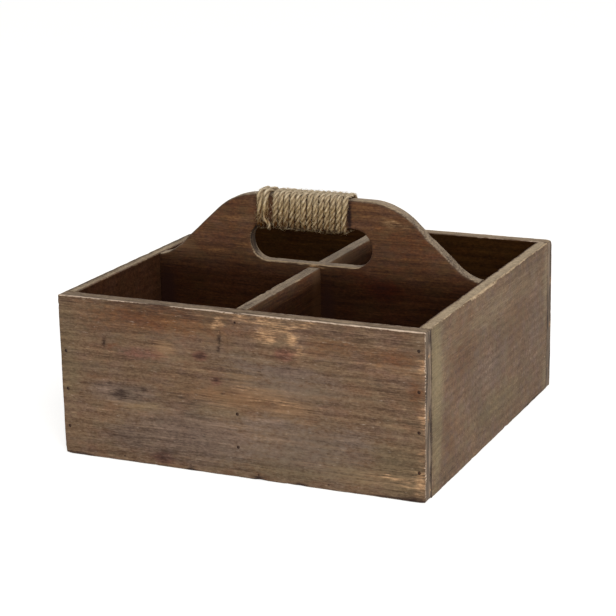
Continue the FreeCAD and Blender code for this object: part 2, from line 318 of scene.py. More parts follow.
def stainedFir(name, look):
    material, tree = newMaterial(name)
    grain = addNode(tree, "Attribute", attribute_name="grain").outputs["Vector"]
    masks = []
    for key in ("edges", "marks", "tints", "hues"):
        told = addNode(tree, "Attribute", attribute_name=key)
        masks += addNode(tree, "SeparateXYZ", links={0: told.outputs["Vector"]}).outputs
    arris, rim, inside, bare, dark, ends = masks[:6]

    field = {}
    for i, (key, (along, across, detail, rough)) in enumerate(firPatterns.items()):
        deep = 1.1 if key == "endRings" else across  # growth lines seen on the sawn ends
        size = (1 / (along * look["stretch"]), 1 / across, 1 / deep)
        place = addNode(tree, "Mapping", links={"Vector": grain},
                        values={"Scale": size, "Location": (3.7 * i, 1.9 * i, 5.3 * i)})
        field[key] = addNode(tree, "TexNoise", values={"Scale": 1.0, "Detail": detail, "Roughness": rough},
                             links={"Vector": place})
        if key == "bend":  # the later patterns run along the bent grain
            grain = addNode(tree, "VectorMath", operation="MULTIPLY_ADD", values={1: (0, 8, 6)},
                            links={0: field[key].outputs["Color"], 2: grain}).outputs[0]

    tilted = addNode(tree, "Mapping", values={"Rotation": (0.6, 0, 0)}, links={"Vector": grain})
    rings = addNode(tree, "TexWave", wave_type="BANDS", bands_direction="Y", wave_profile="SIN",
                    values={"Scale": 2 * math.pi / (20 * ringSpacing), "Distortion": 1.6, "Detail": 2.0,
                            "Detail Scale": 0.02}, links={"Vector": tilted}).outputs["Fac"]

    # strands of stain: fibre, streak, mottle and speck over the growth lines, 0 to 1 about a middle of 0.5
    lines = addNode(tree, "Math", operation="MULTIPLY", values={1: ringShare}, links={0: rings})
    for key, share in look["strands"].items():
        lines = addNode(tree, "Math", operation="MULTIPLY_ADD", values={1: share},
                        links={0: field[key], 2: lines})
    mean = (ringShare + sum(look["strands"].values())) / 2
    lines = addNode(tree, "MapRange", links={"Value": lines},
                    values={"From Min": mean - strandSpan, "From Max": mean + strandSpan})
    colour = addNode(tree, "ValToRGB", stops=list(zip(fibrePlaces, look["fibres"])), links={0: lines})

    patches = addNode(tree, "SeparateXYZ", links={0: field["blotch"].outputs["Color"]})
    for tone, patch in zip(("grey", "rust", "mauve"), patches.outputs):
        where = addNode(tree, "MapRange", interpolation_type="SMOOTHSTEP", links={"Value": patch},
                        values={"From Min": 0.47, "From Max": 0.64, "To Max": look[tone + "Much"]})
        colour = blendIn(tree, where, colour, look[tone], "MIX" if tone == "grey" else "COLOR")
    level = addNode(tree, "MapRange", links={"Value": field["cloud"]},
                    values={"From Min": 0.3, "From Max": 0.7, "To Min": 0.82, "To Max": 1.16})
    colour = addNode(tree, "VectorMath", operation="SCALE", links={0: colour, "Scale": level}).outputs[0]

    # wider stains, listed one by one, broken up by a finer pattern
    for mask, (key, (blend, much, by)) in zip(masks[6:], stainBlends.items()):
        broken = addNode(tree, "Math", operation="MULTIPLY_ADD", values={1: 0.9},
                         links={0: field[by], 2: mask})
        where = addNode(tree, "MapRange", interpolation_type="SMOOTHSTEP",
                        values={"From Min": 0.55, "From Max": 1.15, "To Max": much}, links={"Value": broken})
        colour = blendIn(tree, where, colour, look["tints"][key], blend)

    # pale flecks where the stain is rubbed through, and dark scuffs along the grain
    rubbed = addNode(tree, "MapRange", interpolation_type="SMOOTHSTEP",
                     values={"From Min": 0.62, "From Max": 0.8, "To Max": look["fleck"]},
                     links={"Value": field["scuff"]})
    colour = blendIn(tree, rubbed, colour, look["worn"][1])
    scuffed = addNode(tree, "MapRange", interpolation_type="SMOOTHSTEP",
                      values={"From Min": 0.42, "From Max": 0.22, "To Max": look["scuffs"]},
                      links={"Value": field["scuff"]})
    colour = blendIn(tree, scuffed, colour, look["fibres"][0])
    colour = blendIn(tree, inside, colour, look["inside"], "MULTIPLY")  # the inside's dark stain, with painted shade that deepens below the rim

    # worn places: each mask is broken up by the grain before it shows the paler wood
    ragged = addNode(tree, "Math", operation="ADD", links={0: field["wear"], 1: field["scuff"]})
    ragged = addNode(tree, "Math", operation="ADD", links={0: ragged, 1: field["fibre"]})
    for key, mask in (("ends", ends), ("rim", rim), ("bare", bare), ("worn", arris)):
        tone = lines
        if key == "ends":
            tone = addNode(tree, "MapRange", values={"From Min": 0.4, "From Max": 0.6},
                           links={"Value": field["endRings"]})
        if key == "bare":  # blotchy, from stain still in the pores to clean wood
            tone = addNode(tree, "Math", operation="MULTIPLY_ADD", values={1: 1.6},
                           links={0: field["mottle"], 2: lines})
            tone = addNode(tree, "MapRange", values={"From Min": 0.75, "From Max": 1.85},
                           links={"Value": tone})
        if key == "rim":  # the mask also says how pale: 0.8 for a middling rim
            tone = addNode(tree, "Math", operation="MULTIPLY_ADD", values={1: 1.6}, links={0: mask, 2: lines})
            tone = addNode(tree, "Math", operation="SUBTRACT", values={1: 1.28}, links={0: tone})
        paler = blendIn(tree, tone, *look[key])
        colour = blendIn(tree, breakUp(tree, ragged, mask, *maskBreaks[key]), colour, paler)

    # dark spots: old knots, dirt, nail pits, darker strips along some bottom edges, and painted shade in the
    # handle's corners and beside its twine
    colour = blendIn(tree, breakUp(tree, ragged, dark, *maskBreaks["dark"]), colour, knotColour)
    rough = addNode(tree, "MapRange", values={"To Min": 0.72, "To Max": 0.95},
                    links={"Value": field["streak"]})
    height = addNode(tree, "Math", operation="MULTIPLY_ADD", values={1: 0.4},
                     links={0: rings, 2: field["fibre"]})
    relief = addNode(tree, "Bump", values={"Strength": 0.45, "Distance": 0.3 * mm}, links={"Height": height})
    sheen = addNode(tree, "MapRange", values={"To Min": 0.28, "To Max": 0.04}, links={"Value": inside})
    shader = addNode(tree, "BsdfPrincipled", values={"IOR": 1.5},
                     links={"Base Color": colour, "Roughness": rough, "Specular IOR Level": sheen,
                            "Normal": relief})
    addNode(tree, "OutputMaterial", links={"Surface": shader})
    return material


# boards: sawn and planed fir, each rebuilt on its CAD outline with worn edges, nail pits and marks.
# grain is the axis the fibres run along and inner the side that looks into the box, 0 for both;
# inside is how much the inside darkens, by its dark stain and by painted shade, and fade is where that begins
# and is full, below the rim; rim says how pale the top edge is, and soil how dirty its outer side; chips
# (place on the board, reach, depth), gouges (from, to, half width, depth), patches (mark, place, half sizes,
# strength) and stopped nails (place, half sizes, how much still shows) are in the board's plane, mm
boards = {
    "front_board": {
        "finish": "face", "grain": 0, "inner": 1, "seed": 3, "inside": 1.0, "fade": (0, 6), "rim": 0.66,
        "chips": [(150, 0, 4, 0.4), (-150, 0, 6, 0.6), (18.5, 0, 6, 0.4)],
        "gouges": [(-109.5, 98.5, -112, 91, 0.9, 0.8), (-11.8, 112, -13.6, 99, 0.9, 0.7),
                   (-2, 70.5, 17, 70, 0.6, 0.4)],
        "patches": [
            ("warm", -66, 116, 58, 11, 0.6), ("warm", 80, 110, 20, 7, 0.45), ("warm", 125, 106, 24, 7, 0.5),
            ("warm", 8, 64, 46, 9, 0.5), ("warm", -101, 92, 6, 3, 0.8), ("warm", 143, 84, 6, 14, 0.5),
            ("slate", -98, 55, 26, 7, 0.8), ("slate", 43, 86, 30, 5, 0.8), ("slate", -37, 28, 46, 17, 0.9),
            ("slate", -88, 20, 26, 10, 0.7), ("slate", 28, 46, 28, 5, 0.7), ("slate", 94, 41, 16, 5, 0.8),
            ("olive", -143, 80, 8, 44, 0.7), ("olive", -76, 47, 18, 4, 0.7), ("olive", -18, 48, 20, 5, 0.6),
            ("olive", 130, 22, 16, 18, 1.0), ("olive", 92, 14, 18, 6, 0.8), ("olive", 40, 10, 40, 6, 0.7),
            ("red", -82, 89, 20, 3, 0.8), ("red", -29, 92, 5, 3, 1.0), ("red", 40, 100, 7, 4, 0.9),
            ("red", -63, 7, 7, 4, 1.0), ("red", -16, 74, 4, 3, 0.8),
            ("grey", 55, 28, 56, 24, 0.5), ("grey", 42, 74, 50, 9, 0.5), ("grey", 10, 90, 26, 10, 0.4),
            ("pale", 0, 62, 48, 10, 0.4), ("pale", 112, 14, 40, 9, 0.4), ("pale", -20, 40, 30, 4, 0.5),
            ("pale", -76, 46, 30, 3, 0.6), ("pale", -60, 94, 8, 5, 0.7), ("pale", 20, 68, 26, 3, 0.7),
            ("pale", 42, 58, 18, 8, 0.5), ("pale", 8, 76, 16, 7, 0.4),
            ("bare", -12, 120, 3.5, 3, 0.8), ("bare", -15.5, 117, 2.5, 3.5, 0.7),
            ("bare", 10, 125, 10, 2, 0.45), ("bare", 27, 124, 11, 4, 0.75), ("bare", 24, 116, 6, 4.5, 0.7),
            ("bare", 30, 111, 4, 3, 0.6), ("bare", 40, 120, 8, 3, 0.45), ("bare", 47, 112, 4, 5, 0.85),
            ("bare", 53, 105, 3, 3.5, 1.0), ("bare", 54, 124, 8, 2, 0.45),
            ("bare", 147, 103, 3, 8, 0.4), ("bare", 148, 64, 2.5, 8, 0.5), ("bare", 147, 40, 3, 8, 0.45),
            ("bare", 146, 16, 4, 7, 0.7),
            ("bare", 8, 71, 10, 1.5, 0.65), ("bare", 32, 62, 14, 2, 0.5), ("bare", 131, 15, 14, 3, 0.35),
            ("dark", -111, 95, 1.6, 5, 0.6), ("dark", -12.6, 106, 1.8, 7, 0.55),
            ("dark", -13.4, 99, 1.6, 3, 0.7), ("dark", -28.6, 92, 5, 3, 0.5), ("dark", -16, 74.5, 3, 2, 0.7),
            ("dark", -11, 64.5, 2, 1.6, 0.6),
            ("dark", -63, 7, 7, 4, 0.6), ("dark", 39, 100, 5, 4, 0.5), ("dark", -97, 54, 9, 6, 0.6),
            ("dark", 42, 93, 9, 5, 0.4), ("dark", -108, 61, 4, 3, 0.5), ("dark", -78, 60, 3, 2, 0.5),
            ("dark", -90, 52, 18, 8, 0.3), ("dark", -85, 20, 38, 13, 0.32), ("dark", -30, 58, 26, 7, 0.28),
            ("dark", -60, 124, 92, 7, 0.4), ("dark", 92, 122, 62, 8, 0.36), ("dark", 126, 82, 24, 32, 0.27),
            ("dark", -40, 8, 60, 6, 0.3), ("dark", -62, 102, 20, 7, 0.3), ("dark", -62, 11, 20, 8, 0.4),
            ("dark", 139, 58, 11, 8, 0.36), ("dark", 139, 102, 10, 6, 0.26), ("dark", 140, 2, 11, 3.5, 0.7),
            ("dark", -137, 0.6, 14, 2.0, 0.8), ("dark", -39, 1, 4, 2.2, 0.9), ("dark", 17.4, 1, 5, 2.2, 0.9),
            ("dark", 51.6, 0.6, 5, 2.0, 0.8), ("dark", 130, 0.4, 24, 2.2, 0.8),
        ],
        "stopped": [(-146, 114, 7, 7, 0.1), (2, 120, 8, 6, 0.6), (-11, 4, 150, 3, 0.45)],
    },
    "back_board": {
        "finish": "face", "grain": 0, "inner": -1, "seed": 11, "inside": 1.0, "fade": (-1.5, 1), "rim": 0.82,
        "chips": [(-150, 0, 6, 1.0), (92, 0, 5, 0.8), (150, 128, 5, 0.8), (-30, 128, 6, 0.8)],
        "gouges": [(-80, 92, -62, 90, 0.7, 0.5), (60, 40, 63, 52, 0.9, 0.7)],
        "patches": [
            ("warm", 60, 108, 60, 14, 0.7), ("warm", -110, 30, 30, 16, 0.6), ("grey", 90, 52, 40, 22, 0.5),
            ("grey", -50, 76, 34, 14, 0.5), ("pale", -10, 34, 46, 9, 0.6), ("pale", 110, 84, 20, 4, 0.5),
            ("bare", -60, 123, 16, 5, 0.9), ("bare", -48, 114, 6, 6, 0.8), ("bare", 96, 20, 20, 3, 0.5),
            ("bare", -148, 70, 2, 30, 0.6), ("dark", 30, 88, 6, 4, 0.5), ("dark", -104, 40, 5, 3, 0.5),
            ("dark", 70, 60, 18, 6, 0.2), ("dark", 120, 0.5, 20, 1.3, 0.6),
        ],
        "stopped": [(0, 4, 150, 3, 0.45)],
    },
    "left_board": {
        "finish": "side", "grain": 1, "inner": 1, "seed": 17, "inside": 1.0, "fade": (-1.5, 1), "rim": 0.69,
        "soil": 1.0,
        "chips": [(-60, 0, 6, 0.8), (70, 128, 5, 0.8)],
        "gouges": [(-40, 60, -18, 61, 0.7, 0.5)],
        "patches": [
            ("warm", 70, 104, 44, 14, 0.7), ("warm", -80, 60, 40, 16, 0.5), ("grey", 20, 60, 44, 22, 0.5),
            ("grey", -110, 100, 24, 16, 0.5), ("pale", 84, 30, 36, 8, 0.6), ("pale", -40, 26, 30, 5, 0.5),
            ("bare", 62, 122, 14, 5, 0.8), ("bare", -118, 70, 6, 22, 0.4), ("dark", 20, 40, 6, 3, 0.45),
            ("dark", 80, 76, 16, 6, 0.2),
        ],
        "stopped": [(0, 64, 150, 70, 0.5)],
    },
    "right_board": {
        "finish": "side", "grain": 1, "inner": -1, "seed": 23, "inside": 1.0, "fade": (0, 6), "rim": 0.81,
        "chips": [(30, 0, 6, 0.5), (33, 128, 5, 0.6)],
        "gouges": [(-30, 84, -24, 92, 0.6, 0.4)],
        "patches": [
            ("olive", -129, 80, 10, 60, 1.0), ("pale", -126, 92, 13, 42, 0.65),
            ("pale", -126, 34, 12, 24, 0.45), ("pale", 132, 96, 6, 40, 0.55), ("pale", 132, 14, 6, 16, 0.5),
            ("pale", 0, 107, 140, 14, 0.36),
            ("warm", -72, 98, 30, 26, 0.5), ("warm", -100, 34, 24, 20, 0.4), ("slate", -10, 60, 42, 18, 0.5),
            ("slate", 105, 64, 24, 40, 0.4), ("olive", 10, 26, 64, 12, 0.6), ("warm", 60, 90, 40, 24, 0.35),
            ("worn", -24, 127.8, 46, 1.5, 1.2), ("bare", 32, 123, 2, 5, 0.6), ("dark", 60, 56, 7, 4, 0.35),
            ("dark", 62, 36, 24, 28, 0.28), ("dark", -96, 10, 22, 9, 0.28), ("dark", 20, 88, 20, 8, 0.24),
            ("dark", -20, 70, 16, 8, 0.25), ("dark", -137.6, 46, 1.2, 18, 0.8),
            ("dark", -137.6, 100, 0.8, 10, 0.5), ("dark", 90, 0.6, 50, 2.0, 0.7),
        ],
        "stopped": [(0, 64, 150, 70, 0.3)],
    },
    "handle_board": {
        "finish": "handle", "grain": 0, "inner": 0, "seed": 31, "inside": 0.9, "fade": (-22, 16), "rim": 0.82,
        "chips": [(-118, 140, 6, 0.6), (96, 158, 6, 0.6)],
        "gouges": [(52, 150, 84, 149, 0.6, 0.3)],
        "patches": [
            ("warm", 80, 150, 30, 14, 0.5), ("warm", -80, 150, 24, 12, 0.4), ("pale", -120, 136, 14, 5, 0.7),
            ("bare", 66, 168, 14, 3, 0.45), ("warm", 34, 122, 12, 4, 0.8), ("warm", 62, 114, 10, 8, 0.8),
            # the dark patch at (11, 96) is painted shade in the corner by the divider
            ("dark", 58, 116, 9, 5, 0.5), ("dark", 66, 108, 6, 5, 0.4), ("dark", 11, 96, 6, 18, 0.9),
            # the dark patch at (-134, 94) is painted shade in the corner by the left wall
            ("dark", -134, 94, 7, 20, 1.1), ("dark", -80, 146, 26, 10, 0.25), ("red", 60, 114, 14, 8, 0.7),
            # the dark patch at (31.3, 171) is a painted shadow beside the twine's last turn
            ("dark", 31.3, 171, 1.7, 13, 1.1), ("dark", 58, 146, 9, 13, 0.36),
            ("bare", 0.8, 129.2, 5.5, 1.8, 0.6),
        ],
        "stopped": [],
    },
    "cross_divider": {
        "finish": "handle", "grain": 1, "inner": 0, "seed": 43, "inside": 0.9, "fade": (-2, 15), "rim": 0.75,
        "chips": [(-90, 128, 5, 0.5)],
        "gouges": [],
        "patches": [("dark", -70, 90, 8, 4, 0.3), ("pale", -14, 98, 7, 34, 1.0),
                    # the pale patch at (34, 116) is painted light on the divider's rear part, easing the
                    # inside's painted shade there
                    ("pale", 34, 116, 32, 14, 1.0)],
        "stopped": [],
    },
    "floor_plank_1": {
        "finish": "handle", "grain": 0, "inner": 1, "seed": 53, "inside": 0.8, "fade": (0, 10), "rim": 0.8,
        "chips": [], "gouges": [], "patches": [("dark", 60, -90, 14, 7, 0.3)], "stopped": [],
    },
    "floor_plank_2": {
        "finish": "handle", "grain": 0, "inner": 1, "seed": 61, "inside": 0.8, "fade": (0, 10), "rim": 0.8,
        "chips": [], "gouges": [], "patches": [("dark", -70, 12, 10, 6, 0.3)], "stopped": [],
    },
    "floor_plank_3": {
        "finish": "handle", "grain": 0, "inner": 1, "seed": 71, "inside": 0.8, "fade": (0, 10), "rim": 0.8,
        "chips": [], "gouges": [], "patches": [("dark", 40, 96, 12, 6, 0.3)], "stopped": [],
    },
}

# how every board is cut up and worn, mm
boardShape = {
    "edgeStep": 2.6,
    "rows": (0.3, 0.75, 1.3, 2.0, 3.0, 4.6),  # rings of points inside the outline, for the rounded arris
    "gridStep": 7.0,
    "bandStep": 2.2,
    "arris": 1.15,
    "grip": 1.7,  # rounder above the rim, where the hand goes
    "butt": 0.3,  # tight where a board butts on another
    "edgeWander": 0.24,
    "nick": 0.9,  # the small bites along the edges
    "faceWander": 0.22,
    "belly": 0.16,  # the edges are a little hollow across
    "rimReach": 0.8,  # how far the rim's paler wood comes down the face
    "gripRimReach": 2.4,
    "pitReach": 1.05,  # the pit over a set nail
    "pitDepth": 1.15,
    "nailDeep": 1.9,  # a nail that ends this near a face shows there
    "nailApart": 5.0,
    "cutAside": 1.7,  # the outline is read off the middle plane, clear of the nails that lie in it
    "smallestLoop": 30.0,
}
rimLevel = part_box("front_board")[1].z / mm


def drift(points, size, seed):  # smooth noise, about -1 to 1, on points in mm
    start = Vector((seed * 3.17, seed * 1.31, seed * 7.43))
    return np.array([noise.noise(Vector(p).to_3d() / size + start) for p in points])


def readOutlines(node, thin, level):
    flat = [axis for axis in range(3) if axis != thin]
    cut = bmesh.new()
    cut.from_mesh(node.data)
    bmesh.ops.remove_doubles(cut, verts=cut.verts, dist=1e-6)
    there, way = Vector(), Vector()
    there[thin], way[thin] = level * mm, 1.0
    everything = cut.verts[:] + cut.edges[:] + cut.faces[:]
    found = bmesh.ops.bisect_plane(cut, geom=everything, plane_co=there, plane_no=way)
    nextTo = {}
    for edge in found["geom_cut"]:
        if isinstance(edge, bmesh.types.BMEdge):
            nextTo.setdefault(edge.verts[0], []).append(edge.verts[1])
            nextTo.setdefault(edge.verts[1], []).append(edge.verts[0])
    loops = []
    while nextTo:
        loop = [next(iter(nextTo))]
        while True:
            ahead = [v for v in nextTo.pop(loop[-1]) if v in nextTo]
            if not ahead:
                break
            loop.append(ahead[0])
        loops.append(np.array([[v.co[flat[0]], v.co[flat[1]]] for v in loop]) / mm)
    cut.free()
    lengths = [np.linalg.norm(loop - np.roll(loop, 1, axis=0), axis=1).sum() for loop in loops]
    order = sorted(range(len(loops)), key=lambda i: -lengths[i])
    return [loops[i] for i in order if lengths[i] > boardShape["smallestLoop"]]


def evenLoop(loop, hole):
    back, ahead = loop - np.roll(loop, 1, axis=0), np.roll(loop, -1, axis=0) - loop
    keep = np.linalg.norm(ahead, axis=1) > 0.02
    turn = (back[:, 0] * ahead[:, 1] - back[:, 1] * ahead[:, 0])
    turn = np.abs(turn) / np.maximum(np.linalg.norm(back, axis=1) * np.linalg.norm(ahead, axis=1), 1e-9)
    loop = loop[keep & (turn > 0.008)]
    area = np.sum(loop[:, 0] * np.roll(loop[:, 1], -1) - loop[:, 1] * np.roll(loop[:, 0], -1))
    if (area < 0) != hole:  # wood on the left all the way round
        loop = loop[::-1]
    points = []
    for here, there in zip(loop, np.roll(loop, -1, axis=0)):
        parts = max(1, math.ceil(np.linalg.norm(there - here) / boardShape["edgeStep"]))
        points += [here + (there - here) * i / parts for i in range(parts)]
    return np.array(points)


def toOutline(points, starts, ends):  # distance to the outline and the nearest of its points
    way = ends - starts
    rel = points[:, None] - starts[None]
    along = np.clip((rel * way).sum(2) / np.maximum((way * way).sum(1), 1e-12), 0, 1)
    gap = np.linalg.norm(rel - along[..., None] * way, axis=2)
    nearest = gap.argmin(1)
    rows = np.arange(len(points))
    return gap[rows, nearest], nearest, along[rows, nearest] > 0.5


def insideOutline(points, starts, ends):
    x, y = points[:, 0][:, None], points[:, 1][:, None]
    crosses = (starts[:, 1] > y) != (ends[:, 1] > y)
    rise = np.where(ends[:, 1] == starts[:, 1], 1e-12, ends[:, 1] - starts[:, 1])
    meets = starts[:, 0] + (y - starts[:, 1]) * (ends[:, 0] - starts[:, 0]) / rise
    return ((crosses & (x < meets)).sum(1) % 2) == 1


def nailSpots(thin, flat, face, low, high):
    spots = []
    for name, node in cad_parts.items():
        if not name.endswith("nails"):
            continue
        for vertex in node.data.vertices:
            place = np.array(vertex.co) / mm
            within = (low[flat] < place[flat]).all() and (place[flat] < high[flat]).all()
            if abs(place[thin] - face) > boardShape["nailDeep"] or not within:
                continue
            for spot in spots:
                if np.linalg.norm(np.mean(spot, axis=0) - place[flat]) < boardShape["nailApart"]:
                    spot.append(place[flat])
                    break
            else:
                spots.append([place[flat]])
    return [(np.min(spot, axis=0) + np.max(spot, axis=0)) / 2 for spot in spots]


def nearSegment(points, start, end):
    start, end = np.array(start), np.array(end)
    along = np.clip(((points - start) @ (end - start)) / max((end - start) @ (end - start), 1e-9), 0, 1)
    return np.linalg.norm(points - start - along[:, None] * (end - start), axis=1)


def showingPits(look, spots):  # the nail pits, and how much of each still shows
    pits = []
    for spot in spots:
        show = 1.0
        for x, y, a, b, much in look["stopped"]:
            if abs(spot[0] - x) < a and abs(spot[1] - y) < b:
                show = much
        pits.append((spot, show))
    return pits


def spreadPoints(look, outline, inward, ends, pits, low, high):
    # points over a face and the room each wants: arris rings, nail pits, gouges, marks, then a loose grid
    seed = look["seed"]
    points = [outline]
    spacing = [np.full(len(outline), 0.0)]
    for row in boardShape["rows"]:
        ring = outline + inward * row
        far = toOutline(ring, outline, ends)[0]
        ring = ring[(far > 0.8 * row) & insideOutline(ring, outline, ends)]
        points.append(ring)
        spacing.append(np.full(len(ring), min(0.3 * row + 0.12, 0.9)))
    for pit, show in pits:
        for reach, count in ((0.0, 1), (0.4, 7), (0.7, 9), (1.0, 11), (1.35, 11), (2.1, 9)):
            turn = np.arange(count) * 2 * math.pi / count + reach
            points.append(pit + reach * np.stack([np.cos(turn), np.sin(turn)], axis=1))
            spacing.append(np.full(count, 0.25))
    for x0, y0, x1, y1, width, depth in look["gouges"]:
        run = np.array([x1 - x0, y1 - y0])
        side = np.array([-run[1], run[0]]) / np.linalg.norm(run)
        for along in np.linspace(-0.1, 1.1, int(np.linalg.norm(run) / 1.1) + 4):
            for step in (-1.6, -1, -0.5, 0, 0.5, 1, 1.6):
                points.append(np.array([[x0, y0] + run * along + side * step * width]))
                spacing.append(np.array([0.3]))
    for mark, x, y, a, b, strength in look["patches"]:
        if mark not in ("worn", "bare", "dark"):
            continue
        fine = 1.6 if strength > 0.35 else 3.0
        across, up = np.meshgrid(np.arange(-a - 3, a + 3.1, fine), np.arange(-b - 3, b + 3.1, fine))
        patch = np.stack([across.ravel() + x, up.ravel() + y], axis=1)
        shaken = np.stack([drift(patch, 1.3, seed), drift(patch, 1.3, seed + 1)], axis=1)
        points.append(patch + 0.25 * shaken)
        spacing.append(np.full(len(patch), 0.9))
    step = boardShape["gridStep"]
    across, up = np.meshgrid(np.arange(low[0] + step / 2, high[0], step),
                             np.arange(low[1] + step / 2, high[1], step))
    grid = np.stack([across.ravel(), up.ravel()], axis=1)
    shaken = np.stack([drift(grid, 3.1, seed), drift(grid, 3.1, seed + 1)], axis=1)
    points.append(grid + 0.28 * step * shaken)
    spacing.append(np.full(len(grid), 0.45 * step))
    return np.vstack(points), np.concatenate(spacing)


def thinOut(points, spacing, kept):  # leave out points that crowd one already there
    taken, chosen = {}, []
    cell = 1.0
    for i in np.nonzero(kept)[0]:
        p, gap = points[i], spacing[i]
        reach = int(math.ceil(gap / cell))
        home = (int(p[0] // cell), int(p[1] // cell))
        close = (q for dx in range(-reach, reach + 1) for dy in range(-reach, reach + 1)
                 for q in taken.get((home[0] + dx, home[1] + dy), ()))
        if gap and any((q[0] - p[0]) ** 2 + (q[1] - p[1]) ** 2 < gap * gap for q in close):
            continue
        taken.setdefault(home, []).append(p)
        chosen.append(i)
    return chosen


def fillOutline(points, after, starts, ends):  # triangles on the points, inside the outline and facing up
    fence = [(int(i), int(after[i])) for i in range(len(after))]
    made = geometry.delaunay_2d_cdt([Vector(p) for p in points], fence, [], 0, 1e-5)
    source = np.array([origin[0] if origin else -1 for origin in made[3]])
    places = np.array([list(v) for v in made[0]])
    triangles = np.array([face for face in made[2] if len(face) == 3])
    good = insideOutline(places[triangles].mean(1), starts, ends) & (source[triangles] >= 0).all(1)
    triangles = source[triangles[good]]
    a, b, c = (points[triangles[:, i]] for i in range(3))
    turned = (b - a)[:, 0] * (c - a)[:, 1] < (b - a)[:, 1] * (c - a)[:, 0]
    triangles[turned] = triangles[turned][:, ::-1]
    return triangles


